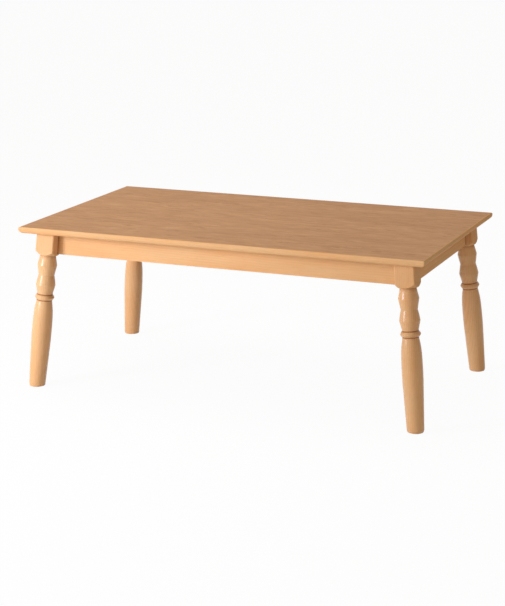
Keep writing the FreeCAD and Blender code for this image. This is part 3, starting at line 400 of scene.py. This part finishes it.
TOP_VENEER = {"light": (0.63, 0.35, 0.173), "dark": (0.45, 0.228, 0.104), "offset": (0.2, 0.03, 0),
              "swirl": 0.016, "contrast": 1.5, "rough": 0.55, "gloss": 0.05}
BACKING_VENEER = {"light": (0.58, 0.38, 0.23), "dark": (0.48, 0.29, 0.16), "offset": (0.5, 0.3, 0),
                  "swirl": 0.006, "contrast": 1.6, "rough": 0.65, "gloss": 0.1}
dress(veneer("veneer", **TOP_VENEER), "top_veneer")
dress(veneer("backing_wood", **BACKING_VENEER), "backing_sheet")

# %% [markdown]
# The edging and the rails are paler than the veneer, and their grain runs along their length. One log
# gives them all, but no two are cut from the same spot: each is moved on from the last, along the log and
# across it.

# %% Dress the edging and the rails
SOLID_ALDER = {"light": (0.765, 0.437, 0.198), "dark": (0.635, 0.323, 0.137), "warp": 0.008}
RAIL_WOOD = {"pith": (0.06, 0.09), "pitch": 0.006, "tilt": 0.015, "figure": 0.4, "rough": 0.6,
             "gloss": 0.04}
BOARD_ROWS = (
    ("x", (0.31, 0.07, 0.0), (0.0, 0.0, 0.02), ("edging_front", "edging_back", "front_rail", "back_rail")),
    ("y", (0.27, 0.05, 0.0), (0.0, 0.0, 0.03), ("edging_left", "edging_right", "left_rail", "right_rail")),
)


def moved_on(number, steps, start=(0.0, 0.0, 0.0)):
    """Where in the log a piece is cut: its number in the row times the steps, from the row's start."""
    return tuple(step * number + first for step, first in zip(steps, start))


for axis, steps, start, names in BOARD_ROWS:
    for number, name in enumerate(names):
        spot = moved_on(number, steps, start)
        dress(wood(name + "_wood", axis, spot, **SOLID_ALDER, **RAIL_WOOD), name)

# %% [markdown]
# A leg is turned from one billet of a tree that grew more slowly, so its rings are closer, and they show
# more. Its lathe polish gives it the clearest highlights on the table. Each foot's place tells which way
# that leg leans.

# %% Dress the legs
LEG_WOOD = {"pith": (0.05, 0.06), "pitch": 0.005, "tilt": 0.02, "figure": 0.55, "rough": 0.27,
            "gloss": 0.24, "matt_head": 0.55}
LEG_STEPS = (0.4, 0.11, 0.05)
FOOT_X, FOOT_Y = 0.5046, 0.2715

for number, name in enumerate(n for n in sorted(nodes) if n.startswith("leg_")):
    foot = (FOOT_X if "right" in name else -FOOT_X, FOOT_Y if "back" in name else -FOOT_Y)
    spot = moved_on(number, LEG_STEPS)
    dress(wood(name + "_wood", "z", spot, foot=foot, **SOLID_ALDER, **LEG_WOOD), name)

# %% [markdown]
# The lattice that carries the heater is hidden when the table is in use, so its slats are planed and left
# paler, with hardly any lacquer. They use the same wood with its own colours and closer rings.

# %% Dress the lattice
SLAT_WOOD = {"light": (0.66, 0.46, 0.28), "dark": (0.54, 0.34, 0.19), "pith": (0.03, 0.05), "pitch": 0.004,
             "tilt": 0.02, "warp": 0.006, "figure": 0.5, "rough": 0.6, "gloss": 0.2}
dress(wood("long_slat_wood", "x", (0, 0, 0), **SLAT_WOOD), "long_slat_front", "long_slat_back")
dress(wood("cross_slat_wood", "y", (0, 0, 0), **SLAT_WOOD), "cross_slat_left", "cross_slat_right")

# %% [markdown]
# Nothing else on the table is wood. The steel pieces are zinc plated, the heater's bezel is moulded
# plastic, and its guard is flocked, which feels and looks like short dark felt. None of these is one even
# colour when seen close, so fine and wide noise break up the tone, the roughness and the surface.

# %% Metal, plastic and felt
WIDE_TIMES_FINE = 30
HALF = 0.5
PLAIN_NOISE = (0.3, 0.7)
GLOSSIER, DULLER = 0.85, 1.2
PLAIN_BUMP = 0.4


def grainy(name, colour, rough, metal=0.0, scale=900.0, variation=0.12, depth=0.0002, **surface):
    """A plain finish broken up by fine noise in its colour, roughness and surface."""
    made, tree, shader = new_material(name, Metallic=metal, **surface)
    where = add(tree, "TexCoord").outputs["Object"]
    fine = add(tree, "TexNoise", Vector=where, Scale=scale, Detail=3.0).outputs[0]
    wide = add(tree, "TexNoise", Vector=where, Scale=scale / WIDE_TIMES_FINE, Detail=2.0).outputs[0]
    both = calc(tree, "ADD", calc(tree, "MULTIPLY", fine, HALF), calc(tree, "MULTIPLY", wide, HALF))
    tone = mapped(tree, both, PLAIN_NOISE, (1 - variation, 1 + variation))
    feed(tree, shader, Base_Color=toned(tree, colour, tone),
         Roughness=mapped(tree, wide, FULL_RANGE, (rough * GLOSSIER, rough * DULLER)),
         Normal=add(tree, "Bump", Strength=PLAIN_BUMP, Distance=depth, Height=fine).outputs[0])
    return made


zinc = grainy("zinc_plate", (0.72, 0.72, 0.70), rough=0.32, metal=1.0, scale=700.0)
dress(grainy("fibreboard", (0.52, 0.38, 0.25), rough=0.85, scale=1400.0), "tabletop_core")
dress(grainy("felt", (0.30, 0.20, 0.13), rough=0.95, scale=2200.0, depth=0.0006, Sheen_Weight=0.5),
      "foot_pads")
dress(grainy("clear_rubber", (0.72, 0.70, 0.64), rough=0.35, scale=400.0, variation=0.04,
             Transmission_Weight=0.35), "rest_pads")
dress(zinc, "hanger_bolts", "bolt_washers", "bolt_nuts", "corner_screws", "heater_screws", "guard_screws",
      "motor_screws")
dress(grainy("passivated_steel", (0.74, 0.66, 0.44), rough=0.36, metal=1.0, scale=300.0),
      "corner_plate_front_left", "corner_plate_front_right", "corner_plate_back_left",
      "corner_plate_back_right")

# %% [markdown]
# The heater's cover and clips are galvanised sheet. Hot zinc sets on steel in flat crystals a few
# millimetres wide, called spangle, and each catches the light a little differently. A Voronoi texture is
# cut into such cells and gives each its own random value, which sets the cell's tone and its roughness.

# %% Galvanised sheet
SPANGLE_RATE = 160.0
SPANGLE_TONE = (0.82, 1.1)
SPANGLE_SMOOTHER, SPANGLE_ROUGHER = 0.08, 0.1


def spangled(name, colour, rough):
    """Galvanised sheet: flat crystals that each catch the light a little differently."""
    made, tree, shader = new_material(name, Metallic=1.0)
    where = add(tree, "TexCoord").outputs["Object"]
    crystal = add(tree, "TexVoronoi", Vector=where, Scale=SPANGLE_RATE).outputs["Color"]
    value = add(tree, "SeparateColor", Color=crystal).outputs[0]
    roughness = (rough - SPANGLE_SMOOTHER, rough + SPANGLE_ROUGHER)
    feed(tree, shader, Base_Color=toned(tree, colour, mapped(tree, value, FULL_RANGE, SPANGLE_TONE)),
         Roughness=mapped(tree, value, FULL_RANGE, roughness))
    return made


dress(spangled("galvanised", (0.62, 0.63, 0.64), rough=0.38), "heater_cover", "tube_clips")

# %% [markdown]
# The rest of the heater, from the flocked guard to the clear quartz tubes. Each material is the real
# one's: the reflector is bright rolled aluminium because it has to throw heat down, the tubes are quartz
# because glass would crack, and the socket and the thermostat are dark phenolic because it doesn't
# soften.

# %% Dress the heater
dress(grainy("bezel_plastic", (0.055, 0.05, 0.047), rough=0.48, scale=1800.0), "heater_bezel")
dress(grainy("flock", (0.06, 0.045, 0.04), rough=0.95, scale=3000.0, variation=0.35, depth=0.0008,
             Sheen_Weight=0.8), "heater_guard")
dress(grainy("bright_aluminium", (0.86, 0.86, 0.87), rough=0.18, metal=1.0, scale=240.0, variation=0.05),
      "reflector")
dress(grainy("ceramic", (0.82, 0.80, 0.74), rough=0.6, variation=0.05), "tube_end_caps", "thermal_fuse")
dress(grainy("motor_steel", (0.60, 0.60, 0.60), rough=0.35, metal=1.0, scale=500.0),
      "fan_motor", "fan_shaft")
dress(grainy("impeller_plastic", (0.80, 0.77, 0.68), rough=0.45, scale=1200.0, variation=0.05),
      "fan_impeller")
dress(grainy("phenolic", (0.045, 0.04, 0.038), rough=0.4, scale=1500.0), "thermostat", "inlet_socket")
dress(grainy("terminal_plastic", (0.78, 0.76, 0.70), rough=0.5, scale=1200.0, variation=0.05),
      "terminal_block")
dress(grainy("plated_brass", (0.80, 0.68, 0.42), rough=0.25, metal=1.0, scale=600.0), "inlet_pins")
dress(grainy("quartz", (0.95, 0.95, 0.95), rough=0.06, scale=300.0, variation=0.02, depth=0.00005,
             Transmission_Weight=0.95, IOR=1.46), "quartz_tube_front", "quartz_tube_back")

# %% [markdown]
# Inside each quartz tube runs a heating coil of fine resistance wire. The solid is only a plain rod of
# the coil's outer size, so the real winding is made here: one ring of points is spun round the tube's
# line and moved along it at the same time, which is how a screw or a spring is made in mesh. One turn is
# made that way, and the others are copies of it, welded end to end.

# %% Heating coils
COIL_WIRE_RADIUS = 0.0004
COIL_PITCH = 0.0024
COIL_STEPS_PER_TURN = 14
COIL_WIRE_SIDES = 6
COIL_END_MARGIN = 0.001
COIL_WELD = COIL_WIRE_RADIUS / 100


def points_of(geometry):
    """Only the points out of an operator's mixed result."""
    return [item for item in geometry if isinstance(item, bmesh.types.BMVert)]


def finished_mesh(shape, name, material):
    """Turn a bmesh into an object with outward faces, its place kept in its mesh."""
    bmesh.ops.recalc_face_normals(shape, faces=shape.faces)
    mesh = bpy.data.meshes.new(name)
    shape.to_mesh(mesh)
    shape.free()
    mesh.materials.append(material)
    made = bpy.data.objects.new(name, mesh)
    bpy.context.scene.collection.objects.link(made)
    return made


def winding(name, node, material):
    """A helix of wire as long and as wide as the node's box, with its axis along X."""
    low, high = (Vector(corner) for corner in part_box(node))
    middle = (low + high) / 2
    length = high.x - low.x - 2 * COIL_END_MARGIN
    reach = (high.z - low.z) / 2 - COIL_WIRE_RADIUS
    turns = int(length / COIL_PITCH)
    pitch = length / turns
    shape = bmesh.new()
    start = Matrix.Translation((low.x + COIL_END_MARGIN, middle.y, middle.z + reach))
    bmesh.ops.create_circle(shape, segments=COIL_WIRE_SIDES, radius=COIL_WIRE_RADIUS,
                            matrix=start @ Matrix.Rotation(math.pi / 2, 4, "X"))
    bmesh.ops.spin(shape, geom=shape.verts[:] + shape.edges[:], cent=middle, axis=(1, 0, 0),
                   dvec=(pitch / COIL_STEPS_PER_TURN, 0, 0), angle=2 * math.pi, steps=COIL_STEPS_PER_TURN,
                   use_duplicate=False)
    one_turn = shape.verts[:] + shape.edges[:] + shape.faces[:]
    for number in range(1, turns):
        copied = bmesh.ops.duplicate(shape, geom=one_turn)["geom"]
        bmesh.ops.translate(shape, verts=points_of(copied), vec=(pitch * number, 0, 0))
    bmesh.ops.remove_doubles(shape, verts=shape.verts, dist=COIL_WELD)
    bmesh.ops.holes_fill(shape, edges=[e for e in shape.edges if e.is_boundary], sides=COIL_WIRE_SIDES)
    piece = finished_mesh(shape, name, material)
    for face in piece.data.polygons:
        face.use_smooth = True
    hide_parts(node)
    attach(piece, "frame")
    print(name, turns, "turns", len(piece.data.polygons), "faces")


coil_wire = grainy("resistance_wire", (0.30, 0.26, 0.23), rough=0.55, metal=1.0)
winding("coil_winding_front", "heating_coil_front", coil_wire)
winding("coil_winding_back", "heating_coil_back", coil_wire)

# %% [markdown]
# The screws have pan heads with a cross recess for the driver, and the solids have plain heads. A node of
# screws is one mesh with several separate solids in it, so each is found first, as an island of points
# that edges join. Its longest side is the screw's line, the ring of points farthest from that line is its
# head, and the nearest ring is its shank. That gives all that a finished screw needs to stand in the same
# place.

# %% Find the screws
DOUBLES_WITHIN = 1e-6
HEAD_RING_SHARE, AXIS_POINT_SHARE = 0.9, 0.05


def islands(node):
    """The separate solids of a node, each as a list of points."""
    shape = bmesh.new()
    shape.from_mesh(nodes[node].data)
    bmesh.ops.remove_doubles(shape, verts=shape.verts, dist=DOUBLES_WITHIN)
    done, found = set(), []
    for first in shape.verts:
        if first in done:
            continue
        group, edge = set(), {first}
        while edge:
            group |= edge
            edge = {e.other_vert(v) for v in edge for e in v.link_edges} - group
        done |= group
        found.append([v.co.copy() for v in shape.verts if v in group])
    shape.free()
    return found


def screw_line(points):
    """The screw's tip, its direction towards the head, its length, and its shank's and head's sizes."""
    low = Vector([min(p[i] for p in points) for i in range(3)])
    high = Vector([max(p[i] for p in points) for i in range(3)])
    span = high - low
    axis = max(range(3), key=lambda i: span[i])
    middle = (low + high) / 2
    line = Vector((0, 0, 0))
    line[axis] = 1
    radial = [((p - middle) - line * (p - middle).dot(line)).length for p in points]
    head = max(radial)
    head_points = [p[axis] for p, r in zip(points, radial) if r > HEAD_RING_SHARE * head]
    shank = min(r for r in radial if r > AXIS_POINT_SHARE * head)
    if sum(head_points) / len(head_points) < middle[axis]:
        line = -line
    thick = max(head_points) - min(head_points)
    return middle - line * span[axis] / 2, line, span[axis], shank, head, thick


print("corner screws found", len(islands("corner_screws")))

# %% [markdown]
# A screw is round, so half its outline is drawn as a few points, from the tip up to the rim of a flat on
# the head, and spun once round. The flat is left open for the cross. That is a small grid of nine squares
# whose rim is bridged to the head's last ring, and whose middle row and column are pushed down into the
# head. Cutting a cross with a Boolean would also work, but it leaves long thin faces.

# %% Make the screws
SCREW_SIDES = 12
TIP_SHARE = 0.4
HEAD_SHARE_ROUND = 0.45
CROWN_SHARE, CROWN_DROP_SHARE = 0.88, 0.16
FLAT_SHARE = 0.74
RECESS_SQUARES = 3
RECESS_REACH_SHARE = 0.52
RECESS_HALF_WIDTH_SHARE = 0.14
RECESS_DEPTH_SHARE = 0.55
SAME_PLACE = 1e-7


def spun_outline(shape, length, shank, head, thick):
    """The shank and the head, open at the top, round Z with the tip at 0."""
    rise = length - thick
    profile = [(0.0, 0.0), (shank * TIP_SHARE, 0.0), (shank, shank), (shank, rise), (head, rise),
               (head, rise + thick * HEAD_SHARE_ROUND),
               (head * CROWN_SHARE, length - thick * CROWN_DROP_SHARE), (head * FLAT_SHARE, length)]
    chain = [shape.verts.new((r, 0, z)) for r, z in profile]
    lines = [shape.edges.new(pair) for pair in zip(chain, chain[1:])]
    bmesh.ops.spin(shape, geom=chain + lines, cent=(0, 0, 0), axis=(0, 0, 1), angle=2 * math.pi,
                   steps=SCREW_SIDES, use_merge=True, use_duplicate=False)


def cross_recess(shape, before, length, head, thick):
    """The head's flat with a cross pushed into it, joined to the open ring; before holds earlier points."""
    reach = head * RECESS_REACH_SHARE
    grid = bmesh.ops.create_grid(shape, x_segments=RECESS_SQUARES, y_segments=RECESS_SQUARES, size=reach,
                                 matrix=Matrix.Translation((0, 0, length)))["verts"]
    for vert in grid:
        for i in (0, 1):
            if abs(vert.co[i]) < reach / 2:
                vert.co[i] = math.copysign(head * RECESS_HALF_WIDTH_SHARE, vert.co[i])
    squares = dict.fromkeys(f for v in grid for f in v.link_faces)
    centres = {f: f.calc_center_median() for f in squares}
    cross = [f for f in squares if min(abs(centres[f].x), abs(centres[f].y)) < SAME_PLACE]
    rim = list(dict.fromkeys(e for v in grid for e in v.link_edges if len(e.link_faces) == 1))
    ring = [e for e in shape.edges if len(e.link_faces) == 1 and e not in rim
            and all(v not in before and abs(v.co.z - length) < SAME_PLACE for v in e.verts)]
    bmesh.ops.bridge_loops(shape, edges=rim + ring)
    pushed = bmesh.ops.extrude_face_region(shape, geom=cross)["geom"]
    bmesh.ops.delete(shape, geom=cross, context="FACES")
    bmesh.ops.translate(shape, verts=points_of(pushed), vec=(0, 0, -thick * RECESS_DEPTH_SHARE))


def add_screw(shape, points):
    """One pan-head screw with a cross recess, standing on the tip of the solid it replaces."""
    tip, line, length, shank, head, thick = screw_line(points)
    before = set(shape.verts)
    spun_outline(shape, length, shank, head, thick)
    cross_recess(shape, before, length, head, thick)
    made = [v for v in shape.verts if v not in before]
    bmesh.ops.remove_doubles(shape, verts=made, dist=SAME_PLACE)
    made = [v for v in shape.verts if v not in before]
    upright = Vector((0, 0, 1)).rotation_difference(line).to_matrix().to_4x4()
    bmesh.ops.transform(shape, verts=made, matrix=Matrix.Translation(tip) @ upright)


for node in ("corner_screws", "heater_screws", "guard_screws", "motor_screws"):
    shape = bmesh.new()
    solids = islands(node)
    for points in solids:
        add_screw(shape, points)
    piece = finished_mesh(shape, node.replace("screws", "screw_set"), zinc)
    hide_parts(node)
    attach(piece, "frame")
    print(piece.name, len(solids), "screws", len(piece.data.polygons), "faces")

# %% [markdown]
# The photograph shows the table on plain white. A floor lit until it is white would throw far too much
# light back up at the table, so this one is pale grey to the light and white only to the camera, and to
# metal and glass that mirror it. Light Path tells those rays from the rest. A small share of the true
# shading is left in, and that is the table's shadow. From below the floor is clear, so that the heater
# can be looked at.

# %% Floor
FLOOR_HALF_SIZE = 30.0
FLOOR_GREY = 0.84
FLOOR_ROUGH = 0.9
SHADOW_SHARE = 0.045
PURE_WHITE = (*WHITE, 1)


def looked_at(tree):
    """1 for a ray that comes from the camera, straight or by way of metal or glass, and 0 for light."""
    path = add(tree, "LightPath")
    seen = calc(tree, "MAXIMUM", path.outputs["Is Camera Ray"], path.outputs["Is Glossy Ray"])
    return calc(tree, "MAXIMUM", seen, path.outputs["Is Transmission Ray"])


def mixed_shaders(tree, share, first, second):
    """The first shader where share is 0 and the second where it is 1."""
    return add(tree, "MixShader", Fac=share, i1=first.outputs[0], i2=second.outputs[0])


def surface_seen_white(name, grey, shadow_share):
    """A pale floor that looks white but for a share of its shading, and is clear from below."""
    made, tree, shader = new_material(name, Base_Color=(grey, grey, grey, 1), Roughness=FLOOR_ROUGH)
    glow = add(tree, "Emission", Color=PURE_WHITE, Strength=1.0)
    white_share = calc(tree, "MULTIPLY", looked_at(tree), 1 - shadow_share)
    from_above = mixed_shaders(tree, white_share, shader, glow)
    below = add(tree, "NewGeometry").outputs["Backfacing"]
    both = mixed_shaders(tree, below, from_above, add(tree, "BsdfTransparent"))
    output = next(n for n in tree.nodes if n.type == "OUTPUT_MATERIAL")
    tree.links.new(both.outputs[0], output.inputs["Surface"])
    return made


floor_mesh = bpy.data.meshes.new("floor")
shape = bmesh.new()
bmesh.ops.create_grid(shape, x_segments=1, y_segments=1, size=FLOOR_HALF_SIZE)
shape.to_mesh(floor_mesh)
shape.free()
floor = bpy.data.objects.new("floor", floor_mesh)
floor_mesh.materials.append(surface_seen_white("pale_floor", FLOOR_GREY, SHADOW_SHARE))
bpy.context.scene.collection.objects.link(floor)
print("floor", 2 * FLOOR_HALF_SIZE, "m wide")

# %% [markdown]
# The world is the room round the table. As light it is weak and warm, and only fills the shadows, so that
# no side goes black. Looked at, it is white, as the floor is.

# %% World
FILL_COLOUR = (1.0, 0.87, 0.70, 1)
FILL_STRENGTH = 0.30

world = bpy.data.worlds.new("world")
world.use_nodes = True
bpy.context.scene.world = world
tree = world.node_tree
tree.nodes.clear()
fill = add(tree, "Background", Color=FILL_COLOUR, Strength=FILL_STRENGTH)
white = add(tree, "Background", Color=PURE_WHITE, Strength=1.0)
room = mixed_shaders(tree, looked_at(tree), fill, white)
tree.links.new(room.outputs[0], add(tree, "OutputWorld").inputs["Surface"])
print("fill strength", FILL_STRENGTH)

# %% [markdown]
# Four area lamps stand in for a studio's soft boxes. The key is low at the front left and gives the legs
# their narrow highlights and lights the front rail. A wide weak one in front keeps the faces between the
# legs alive, one overhead lights the board, and a very weak one at the right lifts the shaded sides. A
# smaller lamp would give harder shadows, and a sun lamp would give the legs no soft highlight at all.

# %% Lamps
def lamp(name, spot, aim, size, watts, colour=WHITE):
    """A square area lamp that faces what it lights."""
    light = bpy.data.lights.new(name, "AREA")
    light.size = size
    light.energy = watts
    light.color = colour
    made = bpy.data.objects.new(name, light)
    made.location = spot
    made.rotation_mode = "QUATERNION"
    made.rotation_quaternion = (Vector(aim) - Vector(spot)).to_track_quat("-Z", "Y")
    bpy.context.scene.collection.objects.link(made)
    print(name, watts, "W")


lamp("key", (-1.8, -2.0, 0.9), aim=(0, 0, 0.3), size=0.7, watts=54, colour=(0.95, 1.0, 1.20))
lamp("front", (0.3, -4.5, 1.4), aim=(0, 0, 0.2), size=2.5, watts=17, colour=(1.0, 0.94, 0.82))
lamp("overhead", (-0.7, 0.1, 3.2), aim=(0, 0, 0.3), size=2.0, watts=38)
lamp("side", (2.4, -0.9, 0.35), aim=(0.4, 0, 0.15), size=1.2, watts=1.7, colour=(1.0, 0.88, 0.80))
bpy.context.scene.view_settings.view_transform = "Standard"
